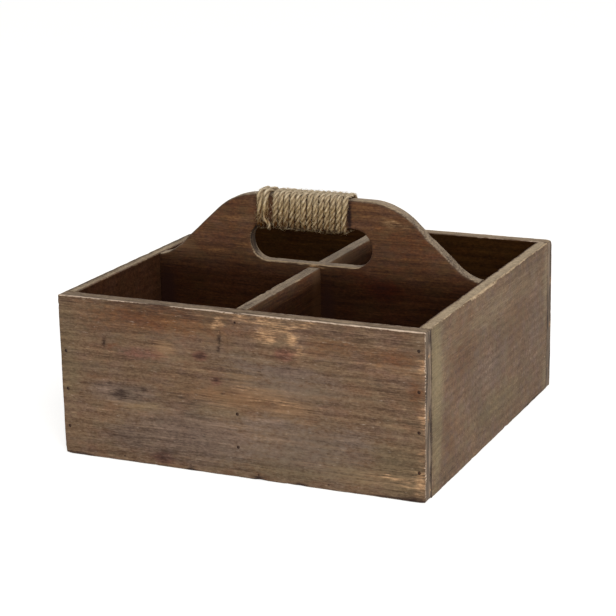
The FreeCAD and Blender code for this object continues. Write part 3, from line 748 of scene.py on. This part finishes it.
def makeBoard(name, look, material):
    shape = boardShape
    seed = look["seed"]
    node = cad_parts[name]
    low, high = [np.array(corner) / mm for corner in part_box(name)]
    thin = int(np.argmin(high - low))
    flat = [axis for axis in range(3) if axis != thin]
    middle, half = (low + high)[thin] / 2, (high - low)[thin] / 2
    upright = flat[1] == 2

    found = readOutlines(node, thin, middle + shape["cutAside"])
    loops = [evenLoop(loop, i > 0) for i, loop in enumerate(found)]
    sizes = [len(loop) for loop in loops]
    firsts = np.cumsum([0] + sizes)[:-1]
    after = np.concatenate([np.roll(np.arange(n), -1) + first for n, first in zip(sizes, firsts)])
    before = np.concatenate([np.roll(np.arange(n), 1) + first for n, first in zip(sizes, firsts)])
    outline = np.vstack(loops)
    way = outline[after] - outline[before]
    inward = np.stack([-way[:, 1], way[:, 0]], axis=1)
    inward /= np.linalg.norm(inward, axis=1)[:, None]

    # the way each piece of the edge looks; edges that butt on another board are tight and dirty, not worn
    facing = -inward
    outer = -look["inner"] if upright else 0
    nothing = np.zeros(len(outline))
    upward = facing[:, 1] if upright else nothing
    ofHole = np.arange(len(outline)) >= sizes[0]
    endLook = np.abs(facing[:, flat.index(look["grain"])])
    below = np.clip((rimLevel - 1 - outline[:, 1]) / 4, 0, 1) if upright else nothing
    butted = below if look["finish"] == "handle" else endLook if look["grain"] == 1 else nothing
    if not upright:
        butted = nothing + 1
    shut = {side: below if outer and side != outer else butted for side in (1, -1)}

    # edges: a slow wander, small nicks, and the board's own chips
    wander = shape["edgeWander"] * (0.5 + 0.5 * drift(outline, 17, seed))
    wander += shape["nick"] * np.clip(drift(outline, 6, seed + 2) - 0.45, 0, 1)
    wander *= 1 - 0.7 * butted
    push = inward * wander[:, None]
    for x, y, reach, depth in look["chips"]:
        off = np.linalg.norm(outline - (x, y), axis=1) / reach
        bite = depth * np.clip(1 - off * off, 0, 1) ** 2
        push += bite[:, None] * inward[off.argmin()]
        wander += bite
    base = np.full(len(outline), shape["arris"])
    if name == "handle_board":
        base[outline[:, 1] > rimLevel + 0.5] = shape["grip"]
    rounds = {}
    for side in (1, -1):
        bitten = np.clip(drift(outline, 7, seed + 8 + side) - 0.3, 0, 1)
        more = 0.8 + 0.45 * drift(outline, 11, seed + 5 + side) + 2.2 * bitten
        worn = np.clip(base * more + 0.8 * wander, 0.35, half - 0.6)
        rounds[side] = worn + (shape["butt"] - worn) * shut[side]
    outline = outline + push
    starts, ends = outline, outline[after]

    pits = showingPits(look, nailSpots(thin, flat, middle + outer * half, low, high) if outer else [])
    points, spacing = spreadPoints(look, outline, inward, ends, pits, low[flat], high[flat])
    far, nearest, second = toOutline(points, starts, ends)
    kept = insideOutline(points, starts, ends) & (far > 0.2)
    kept[:len(outline)] = True
    chosen = thinOut(points, spacing, kept)
    points, far = points[chosen], far[chosen]
    nearest = np.where(second[chosen], after[nearest[chosen]], nearest[chosen])
    far[:len(outline)] = 0
    nearest[:len(outline)] = np.arange(len(outline))
    triangles = fillOutline(points, after, starts, ends)

    # heights of the two faces
    count = len(points)
    sunk = []
    for side in (1, -1):
        radius = rounds[side][nearest]
        inner = np.clip(radius - far, 0, None)
        drop = radius - np.sqrt(np.maximum(radius ** 2 - inner ** 2, 0))
        hollow = 0.5 + 0.5 * drift(points, 46, seed + 20 + side)
        drop += shape["faceWander"] * hollow * np.clip(far / 4, 0, 1)
        if side == outer:
            for pit, show in pits:
                off = np.linalg.norm(points - pit, axis=1) / (shape["pitReach"] * (0.55 + 0.45 * show))
                drop += shape["pitDepth"] * show * np.clip(1 - off ** 3, 0, 1)
            for x0, y0, x1, y1, width, depth in look["gouges"]:
                off = nearSegment(points, (x0, y0), (x1, y1)) / (1.5 * width)
                drop += depth * np.clip(1 - off * off, 0, 1) ** 2
        sunk.append(drop)

    rows = max(2, math.ceil(2 * half / shape["bandStep"]))
    levels = [2 * row / rows - 1 for row in range(1, rows)]
    parts = [0.5 + 0.5 * math.copysign(abs(level) ** 0.4, level) for level in levels]  # closer near the faces
    layers = [(points, middle + half - sunk[0]), (points, middle - half + sunk[1])]
    top, bottom = layers[0][1][:len(outline)], layers[1][1][:len(outline)]
    for row, part in enumerate(parts):
        belly = shape["belly"] * (1 + drift(outline + row * 9.1, 8, seed + 30)) * math.sin(math.pi * part)
        layers.append((outline + inward * belly[:, None], top + (bottom - top) * part))
    corners = np.zeros((sum(len(spot) for spot, depth in layers), 3))
    at = 0
    for spot, depth in layers:
        corners[at:at + len(spot), flat[0]] = spot[:, 0]
        corners[at:at + len(spot), flat[1]] = spot[:, 1]
        corners[at:at + len(spot), thin] = depth
        at += len(spot)
    corners = np.clip(corners, low, high)
    faces = [tuple(t) for t in triangles] + [tuple(t[::-1] + count) for t in triangles]
    bands = [0] + [2 * count + row * len(outline) for row in range(rows - 1)] + [count]
    for upper, lower in zip(bands, bands[1:]):
        faces += [(upper + i, lower + i, lower + after[i], upper + after[i]) for i in range(len(outline))]
    if thin == 1:  # x, z and y make a left-handed set
        faces = [face[::-1] for face in faces]

    # what the finish reads: edges (wear, rim, inside), marks (bare, dark, end grain), and the six stains
    total = len(corners)
    edges, marks, tints, hues = (np.zeros((total, 3)) for key in range(4))
    column = {"worn": edges[:, 0], "bare": marks[:, 0], "dark": marks[:, 1]}
    column.update({key: (tints if i < 3 else hues)[:, i % 3] for i, key in enumerate(stainBlends)})
    # the arris is rubbed most on top, less down the corners and hardly at all inside the box
    rubbed = 0.5 + np.where(upward > 0, 0.5, 0.1) * upward if upright else np.full(len(outline), 0.5)
    patchy = np.clip(0.9 + 0.5 * drift(outline, 40, seed + 50), 0.3, 1.1)
    rubbed *= firLook[look["finish"]]["rubbing"] * patchy
    leftward = np.clip(-facing[:, 0], 0, 1) * ofHole  # the hole's right end kept its stain
    rubbed[ofHole] = 0.3 + 0.65 * np.clip(upward[ofHole], 0, 1)
    rubbed *= 1 - 0.8 * leftward
    nearArris = rubbed[nearest] * np.exp(-(far / (0.75 * np.sqrt(base[nearest]))) ** 2)
    rimLook = look["rim"] - 0.5 * np.clip(1 - upward, 0, 0.4) - 0.1 * ofHole - 0.5 * leftward
    rimLook += 0.1 * drift(outline, 19, seed + 70)
    rimLook *= np.clip(upward * 2.2 - 0.4, 0, 1)
    rimReach = shape["gripRimReach"] if name == "handle_board" else shape["rimReach"]
    # the inside darkens below the rim, from where fade begins to where it is full: dark stain and painted
    # shade
    start, full = look["fade"]
    deep = np.clip((rimLevel - start - points[:, 1]) / (full - start), 0, 1) if upright else np.ones(count)
    deep = look["inside"] * deep * deep * (3 - 2 * deep)
    for side, first in ((1, 0), (-1, count)):
        part = slice(first, first + count)
        edges[part, 0] = nearArris * (1 - shut[side][nearest]) * (1 if side == (outer or side) else 0.4)
        marks[part, 1] = 0.4 * shut[side][nearest] * np.exp(-(far / 0.6) ** 2)
        edges[part, 1] = rimLook[nearest] * np.clip(1 - far / rimReach, 0, 1) * (side == (outer or side))
        if side != outer:
            edges[part, 2] = deep * np.clip(far / 0.6 + shut[side][nearest], 0, 1) * (upright or side > 0)
        if side == (outer or side):
            for mark, x, y, a, b, strength in look["patches"]:
                off = ((points[:, 0] - x) / a) ** 2 + ((points[:, 1] - y) / b) ** 2
                column[mark][part] = np.maximum(column[mark][part], strength * np.exp(-0.6 * off))
        if side == outer:
            for pit, show in pits:
                off = np.linalg.norm(points - pit, axis=1) / (0.6 + 0.4 * show)
                marks[part, 1] = np.maximum(marks[part, 1], 1.2 * show * np.clip((1.45 - off) / 0.5, 0, 1))
            for x0, y0, x1, y1, width, depth in look["gouges"]:
                off = nearSegment(points, (x0, y0), (x1, y1)) / (1.5 * width)
                marks[part, 1] = np.maximum(marks[part, 1], 0.3 * np.clip(1 - off, 0, 1))
    for row, down in enumerate(parts):
        part = slice(2 * count + row * len(outline), 2 * count + (row + 1) * len(outline))
        edges[part, 0] = rubbed * max(0.5 - 2 * min(down, 1 - down), 0.1) * (1 - butted)
        edges[part, 1] = rimLook
        edges[part, 2] = deep[:len(outline)] * butted
        marks[part, 2] = endLook
        # sawn ends: dirt in the joint, and a few clean crumbs
        fromJoint = 2 * half * (down if look["inner"] > 0 else 1 - down)
        dirty = np.clip(0.35 + 1.5 * drift(outline + 3.0 * row, 11, seed + 60), 0, 1)
        dirty *= np.clip(1.5 - fromJoint / 4, 0, 1)
        soiled = look.get("soil", 0) * np.clip(upward, 0, 1) * np.clip((fromJoint - 2 * half + 4) / 4, 0, 1)
        marks[part, 1] = np.maximum(0.8 * dirty * endLook, soiled)
        marks[part, 0] = endLook * np.clip(1.8 * drift(outline + 9.0 * row, 6, seed + 64) - 0.5, 0, 0.9)
    marks[:2 * count, 2] = np.tile(endLook[nearest] * np.clip(1 - far / 0.5, 0, 1), 2)
    other = [axis for axis in flat if axis != look["grain"]][0]
    grain = corners[:, [look["grain"], other, thin]] + np.array([137.0, 53.0, 29.0]) * seed

    data = bpy.data.meshes.new(name + "_worn")
    data.from_pydata((corners * mm).tolist(), [], [tuple(int(i) for i in face) for face in faces])
    told = {"grain": grain, "edges": edges, "marks": marks, "tints": tints, "hues": hues}
    for key, values in told.items():
        tellMesh(data, key, values)
    data.shade_smooth()
    data.materials.append(material)
    piece = bpy.data.objects.new(name + "_worn", data)
    scene.collection.objects.link(piece)
    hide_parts(name)
    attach(piece, "root")
    print("%s: %d faces, %d nail pits" % (name, len(faces), len(pits)))
    return loops


finishes = {key: stainedFir("stained_fir_%s" % key, look) for key, look in firLook.items()}
outlines = {}
for boardName, boardLook in boards.items():
    outlines[boardName] = makeBoard(boardName, boardLook, finishes[boardLook["finish"]])


# jute twine, three plies laid up right-handed and wound by hand: matt straw-brown strands that lean one way,
# with painted shade where they dive under each other and lower down, a painted highlight on top, and loose
# hairs standing off
twineLook = {
    "thick": 4.4,  # mm, over the plies
    "seat": 0.2,
    "press": 0.14,  # how much flatter the tight turns are over the top
    "pitch": 5.0,
    "leadTurns": 2,  # two slack turns on the left, then a gap
    "leadOver": 5.0,
    "leadGap": 3.6,
    "plies": 3,
    "lay": 18.0,  # mm of twine for one turn of the plies
    "slackLay": 45.0,
    "slackSize": 1.2,
    "slackSink": 0.35,
    "plyRound": 1.22,
    "plyOut": (0.86, 1.14),  # the plies' way from the middle, out from the bar and along it
    "step": 1.0,
    "sides": 7,
    "hairs": 3400,
    "hairLength": (1.6, 5.0),
    "hairRound": 0.1,
    "hairLift": (0.06, 0.6),
    "seed": 5,
    "stray": 0.5,  # mm that the strands stray along the bar
    "proud": 0.35,  # and off it
    "uneven": 2.4,  # how much the twist varies, radians
    "lump": 0.3,  # thick and thin places of each ply
    "tail": [(-2.0, -1.5, 6.2), (-0.4, 1.8, 5.8), (1.4, 3.4, 5.2), (3.2, 3.8, 4.2),
             (4.4, 3.4, 2.6), (4.2, 2.6, 0.4), (3.4, 1.6, -1.2), (3.0, 0.2, -2.2)],
    "tailSize": 0.75,
    "juteStops": [(0.1, "#735a3a"), (0.4, "#b3986c"), (0.6, "#cdb489"), (0.9, "#f2e0c0")],
    # deep: the colour of the painted shade where the plies dive under each other and lower down
    "deep": "#684820",
    # how strong the painted shade lower down the wrap is
    "shadeAndDarkening": 0.4,
    "slackDarkening": 0.2,
    "paintedTopLight": ("#dccfb8", 0.5),  # painted highlight: paler on top, where the light falls
    "paintedTopLightSteps": [(0.55, 2.2, 3), (0.45, 11, 7)],  # share, mm below the top, and over how many
    "unshadedTop": 5.0,  # mm below the top where the painted shade begins
    "lowLeftDarkening": 0.8,  # darker still low on the left half
    "fibreAcross": 0.8,  # mm; jute fibres are 0.1 mm wide: drawn coarser so that they show
}


def juteTwine():
    material, tree = newMaterial("jute_twine_three_ply")
    run = addNode(tree, "Attribute", attribute_name="run").outputs["Vector"]
    depth = addNode(tree, "Attribute", attribute_name="depth").outputs["Fac"]
    wide = twineLook["fibreAcross"]
    place = addNode(tree, "Mapping", values={"Scale": (1 / 5, 1 / wide, 1 / wide)}, links={"Vector": run})
    fibre = addNode(tree, "TexNoise", values={"Scale": 1.0, "Detail": 3.0, "Roughness": 0.6},
                    links={"Vector": place})
    place = addNode(tree, "Mapping", values={"Scale": (1 / 3, 1 / 1.6, 1 / 1.6)}, links={"Vector": run})
    fade = addNode(tree, "TexNoise", values={"Scale": 1.0, "Detail": 3.0}, links={"Vector": place})
    tone = addNode(tree, "Math", operation="MULTIPLY_ADD", values={1: 0.9}, links={0: fade, 2: fibre})
    tone = addNode(tree, "MapRange", values={"From Min": 0.65, "From Max": 1.25}, links={"Value": tone})
    straw = addNode(tree, "ValToRGB", stops=twineLook["juteStops"], links={0: tone})
    paler, much = twineLook["paintedTopLight"]
    paintedTopLit = addNode(tree, "Attribute", attribute_name="paintedTopLit").outputs["Fac"]
    where = addNode(tree, "MapRange", values={"To Max": much}, links={"Value": paintedTopLit})
    straw = blendIn(tree, where, straw, paler)
    # painted shade between and under the plies, and lower down
    straw = blendIn(tree, depth, straw, twineLook["deep"], "MULTIPLY")
    rough = addNode(tree, "MapRange", values={"To Min": 0.8, "To Max": 0.98}, links={"Value": fibre})
    relief = addNode(tree, "Bump", values={"Strength": 0.7, "Distance": 0.25 * mm}, links={"Height": fibre})
    gloss = {"IOR": 1.5, "Specular IOR Level": 0.1, "Sheen Weight": 0.04, "Sheen Roughness": 0.5}
    shader = addNode(tree, "BsdfPrincipled", values=gloss,
                     links={"Base Color": straw, "Roughness": rough, "Normal": relief})
    addNode(tree, "OutputMaterial", links={"Surface": shader})
    return material


def alongRoute(route):  # how far, where and which way at even steps on the route's smooth line
    data = bpy.data.curves.new("twineRoute", "CURVE")
    data.dimensions = "3D"
    spline = data.splines.new("NURBS")
    spline.points.add(len(route) - 1)
    for point, place in zip(spline.points, route):
        point.co = (*place, 1.0)
    spline.order_u = 3
    spline.use_endpoint_u = True
    spline.resolution_u = 10
    carrier = bpy.data.objects.new("twineRoute", data)
    line = bpy.data.meshes.new_from_object(carrier)
    walk = np.array([v.co for v in line.vertices])
    bpy.data.objects.remove(carrier)
    bpy.data.curves.remove(data)
    bpy.data.meshes.remove(line)
    gone = np.concatenate([[0], np.cumsum(np.linalg.norm(np.diff(walk, axis=0), axis=1))])
    reach = np.linspace(0, gone[-1], int(gone[-1] / twineLook["step"]))
    core = np.stack([np.interp(reach, gone, walk[:, axis]) for axis in range(3)], axis=1)
    return reach, core


def layPlies(made, reach, core, out, flat, twist, shadeAndDarkening, size, seed):
    look = twineLook
    count, sides = len(reach), look["sides"]
    string = np.stack([reach, reach * 0, reach * 0], axis=1)
    ahead = np.gradient(core, axis=0)
    ahead /= np.linalg.norm(ahead, axis=1)[:, None]
    out = out - (out * ahead).sum(1)[:, None] * ahead
    out /= np.linalg.norm(out, axis=1)[:, None]
    beside = np.cross(ahead, out)
    turn = 2 * math.pi * twist + look["uneven"] * drift(string, 26, seed + 1)
    spread, radius = [size * part for part in look["plyOut"]], size[:, None] * look["plyRound"]
    for ply in range(look["plies"]):
        angle = turn + 2 * math.pi * ply / look["plies"]
        away, over = np.cos(angle), np.sin(angle)
        centre = core + out * (spread[0] * away * flat)[:, None] + beside * (spread[1] * over)[:, None]
        swell = 1 + look["lump"] * drift(string + (0, 40 * ply, 0), 3.4, seed + 2)
        around = angle[:, None] + 2 * math.pi * np.arange(sides) / sides
        lean = out[:, None] * (flat[:, None] * np.cos(around))[..., None]
        lean += beside[:, None] * np.sin(around)[..., None]
        gone, strand = np.repeat(reach, sides), np.full(count * sides, float(ply))
        places = np.stack([gone / 1.7, around.ravel() * 1.5, 9.0 * strand], axis=1)
        rough = drift(places, 1, seed + 3).reshape(count, sides)
        spots = centre[:, None] + lean * (radius * swell[:, None] + 0.3 * rough)[..., None]
        facing = ((away * spread[0])[:, None] + np.cos(around) * radius) / 2.2
        inThe = np.cos(around - angle[:, None])  # 1 on the outside of the twine, -1 where the plies meet
        # painted shade: darker where the ply faces in and where the plies meet, plus the darkening passed in
        depth = np.clip(0.75 - 0.55 * facing - 0.35 * inThe + shadeAndDarkening[:, None], 0, 1)
        first = sum(len(spots) for spots in made["corners"])
        made["corners"].append(spots.reshape(-1, 3))
        made["depths"].append(depth.ravel())
        coil = 1.4 * (around - 0.5 * angle[:, None]).ravel()  # fibres twist round the ply against the lay
        made["runs"].append(np.stack([gone + 700 * seed, coil, 60.0 * strand], axis=1))
        for i in range(count - 1):
            for k in range(sides):
                a, b = first + i * sides + k, first + i * sides + (k + 1) % sides
                made["faces"].append((a, b, b + sides, a + sides))
        made["faces"].append(tuple(first + k for k in range(sides)))
        made["faces"].append(tuple(first + (count - 1) * sides + k for k in reversed(range(sides))))
    return ahead, out, beside


def addHairs(made, reach, core, ahead, out, beside):  # thin tapered threads that lift off the strands
    look = twineLook
    chance = random.Random(look["seed"])
    lowest, highest = [np.array(corner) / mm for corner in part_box("twine_binding")]
    first = sum(len(spots) for spots in made["corners"])
    corners, runs = [], []
    for hair in range(look["hairs"]):
        i = chance.randrange(10, len(reach) - 10)
        lean = chance.uniform(-1.25, 1.25)
        up = out[i] * math.cos(lean) + beside[i] * math.sin(lean)
        root = core[i] + up * (look["plyRound"] + chance.uniform(0.5, 1.1))
        heading = ahead[i] * chance.choice((-1, 1)) + beside[i] * chance.uniform(-0.9, 0.9)
        length = chance.uniform(*look["hairLength"])
        curl = np.array([chance.uniform(-1, 1) for axis in range(3)])
        lift = chance.uniform(*look["hairLift"])
        for part in range(3):
            share = part / 2
            spot = root + heading * length * share + up * (0.55 * length * share * (1.25 - share)) * lift
            spot = np.clip(spot + curl * 0.22 * length * share * share, lowest + 0.1, highest - 0.1)
            for k in range(3):
                around = 2 * math.pi * k / 3
                wide = look["hairRound"] * (1.15 - share)
                corners.append(spot + (up * math.cos(around) + beside[i] * math.sin(around)) * wide)
                runs.append((reach[i] + length * share, 1.7 * hair, 7.0))
        for part in range(2):
            for k in range(3):
                a, b = first + part * 3 + k, first + part * 3 + (k + 1) % 3
                made["faces"].append((a, b, b + 3, a + 3))
        made["faces"].append((first, first + 1, first + 2))
        made["faces"].append((first + 8, first + 7, first + 6))
        first += 9
    made["corners"].append(np.array(corners))
    made["runs"].append(np.array(runs))
    made["depths"].append(np.zeros(len(corners)))


def makeTwine(material):
    look = twineLook
    low, high = [np.array(corner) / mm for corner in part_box("handle_board")]
    hole = outlines["handle_board"][1]
    endRound = (hole[:, 1].max() - hole[:, 1].min()) / 2
    left, right = hole[:, 0].min() + endRound, hole[:, 0].max() - endRound
    middle = (hole[:, 1].max() + hole[:, 1].min()) / 2
    off = look["seat"] + look["thick"] / 2  # from the wood to the twine's middle
    side, top = (high[1] - low[1]) / 2 + off, high[2] + off
    climbs = [left - look["leadOver"]]
    while climbs[-1] + look["pitch"] <= right - look["thick"] / 2:
        gap = look["leadGap"] if len(climbs) == look["leadTurns"] else 0
        climbs.append(climbs[-1] + look["pitch"] + gap)

    # the route: eleven points a turn, down the back, under the grip, up the front and over the top
    route = []
    for i, x in enumerate(climbs):
        over = np.clip(left - x, 0, endRound - 1)
        under = middle + math.sqrt(endRound ** 2 - over ** 2) - off
        half = (top + under) / 2
        lift = (top - under) / 2
        down, up = half - 0.4 * lift, half + 0.4 * lift
        stops = [(side, half), (side, down), (side, under), (0, under), (-side, under), (-side, down),
                 (-side, up), (-side, top), (0, top), (side, top), (side, up)]
        lengths = np.cumsum([0] + [math.dist(a, b) for a, b in zip(stops, stops[1:] + stops[:1])])
        for (y, z), gone in zip(stops, lengths):
            share = gone / lengths[-1] - 0.5
            before = climbs[max(i - 1, 0)] if i else x - look["pitch"]
            ahead = climbs[i + 1] if i + 1 < len(climbs) else x + 1.5 * look["pitch"]
            route.append((x + share * ((x - before) if share < 0 else (ahead - x)), y, z))
    route.append((climbs[-1] + 0.75 * look["pitch"], side, (top + under) / 2))

    made = {"corners": [], "faces": [], "runs": [], "depths": []}
    reach, core = alongRoute(route)
    string = np.stack([reach, reach * 0, reach * 0], axis=1)
    core[:, 0] += look["stray"] * drift(string, 24, look["seed"])
    barLow, barHigh = middle + endRound + 5, high[2] - 5
    out = core - np.stack([core[:, 0], core[:, 0] * 0, np.clip(core[:, 2], barLow, barHigh)], axis=1)
    out /= np.linalg.norm(out, axis=1)[:, None]
    core -= out * (look["proud"] * (0.5 + 0.5 * drift(string, 19, look["seed"] + 6)))[:, None]
    slack = core[:, 0] < climbs[look["leadTurns"]] - look["pitch"] / 2
    core[slack] -= look["slackSink"] * out[slack]
    flat = 1 - look["press"] * np.clip((core[:, 2] - top + 4) / 3, 0, 1) * ~slack
    core -= out * (look["thick"] / 2 * (1 - flat))[:, None]
    # painted shade lower down the wrap, darker still on the slack turns and low on the left half
    shadeTop = top - look["unshadedTop"]
    lower = np.clip((shadeTop - core[:, 2]) / (shadeTop - under), 0, 1)
    shadeAndDarkening = look["shadeAndDarkening"] * lower * lower * (3 - 2 * lower)
    shadeAndDarkening[slack] += look["slackDarkening"]
    shadeAndDarkening += look["lowLeftDarkening"] * lower ** 3 * np.clip((right - 8 - core[:, 0]) / (right - left), 0, 1)
    twist = np.cumsum(np.gradient(reach) / np.where(slack, look["slackLay"], look["lay"]))
    size = np.where(slack, look["slackSize"], 1.0)
    reached = layPlies(made, reach, core, out, flat, twist, shadeAndDarkening, size, look["seed"])
    addHairs(made, reach, core, *reached)

    # the twine's loose end, pulled across from the slack turns and tucked in under the first tight one
    start = np.array([climbs[look["leadTurns"] - 1], -side, under + 0.5])
    tail = [start + (x, -y, z) for x, y, z in look["tail"]]
    tailReach, tailCore = alongRoute([tuple(spot) for spot in tail])
    layPlies(made, tailReach, tailCore, np.tile([0.0, -1.0, 0.0], (len(tailReach), 1)), 1 + 0 * tailReach,
             tailReach / look["lay"], 0.2 + 0 * tailReach, look["tailSize"] + 0 * tailReach, look["seed"] + 9)

    corners = np.vstack(made["corners"])
    # painted highlight, rising towards the top of the wrap
    paintedTopLit = np.zeros(len(corners))
    for share, below, over in look["paintedTopLightSteps"]:
        paintedTopLit += share * np.clip((corners[:, 2] - top + below) / over, 0, 1)
    data = bpy.data.meshes.new("twine_binding_plies")
    data.from_pydata((corners * mm).tolist(), [], made["faces"])
    tellMesh(data, "run", np.vstack(made["runs"]))
    tellMesh(data, "depth", np.concatenate(made["depths"]))
    tellMesh(data, "paintedTopLit", paintedTopLit)
    tidy = bmesh.new()
    tidy.from_mesh(data)
    bmesh.ops.recalc_face_normals(tidy, faces=tidy.faces)
    tidy.to_mesh(data)
    tidy.free()
    data.shade_smooth()
    data.materials.append(material)
    piece = bpy.data.objects.new("twine_binding_plies", data)
    scene.collection.objects.link(piece)
    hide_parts("twine_binding")
    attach(piece, "root")
    print("twine: %d turns, %.0f mm, %d faces" % (len(climbs), reach[-1], len(made["faces"])))


makeTwine(juteTwine())


# brads: drawn steel wire, gone brown and dull in the open nail pits
bradLook = {
    "steel": "#3a312b",
    "rust": "#5d3a22",
    "spot": 0.8,  # mm
}


def brownedSteel():
    material, tree = newMaterial("drawn_steel_wire_browned")
    place = addNode(tree, "NewGeometry").outputs["Position"]
    spots = addNode(tree, "TexNoise", values={"Scale": 1 / (bradLook["spot"] * mm), "Detail": 3.0},
                    links={"Vector": place})
    where = addNode(tree, "MapRange", values={"From Min": 0.4, "From Max": 0.65}, links={"Value": spots})
    colour = blendIn(tree, where, bradLook["steel"], bradLook["rust"])
    rough = addNode(tree, "MapRange", values={"To Min": 0.45, "To Max": 0.85}, links={"Value": where})
    relief = addNode(tree, "Bump", values={"Strength": 0.4, "Distance": 0.1 * mm}, links={"Height": spots})
    shader = addNode(tree, "BsdfPrincipled", values={"Metallic": 0.7},
                     links={"Base Color": colour, "Roughness": rough, "Normal": relief})
    addNode(tree, "OutputMaterial", links={"Surface": shader})
    return material


brads = brownedSteel()
for nodeName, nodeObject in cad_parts.items():
    if nodeName.endswith("nails"):
        for nodeSlot in nodeObject.material_slots:
            nodeSlot.material = brads
print("brads finished")

bpy.context.view_layer.update()
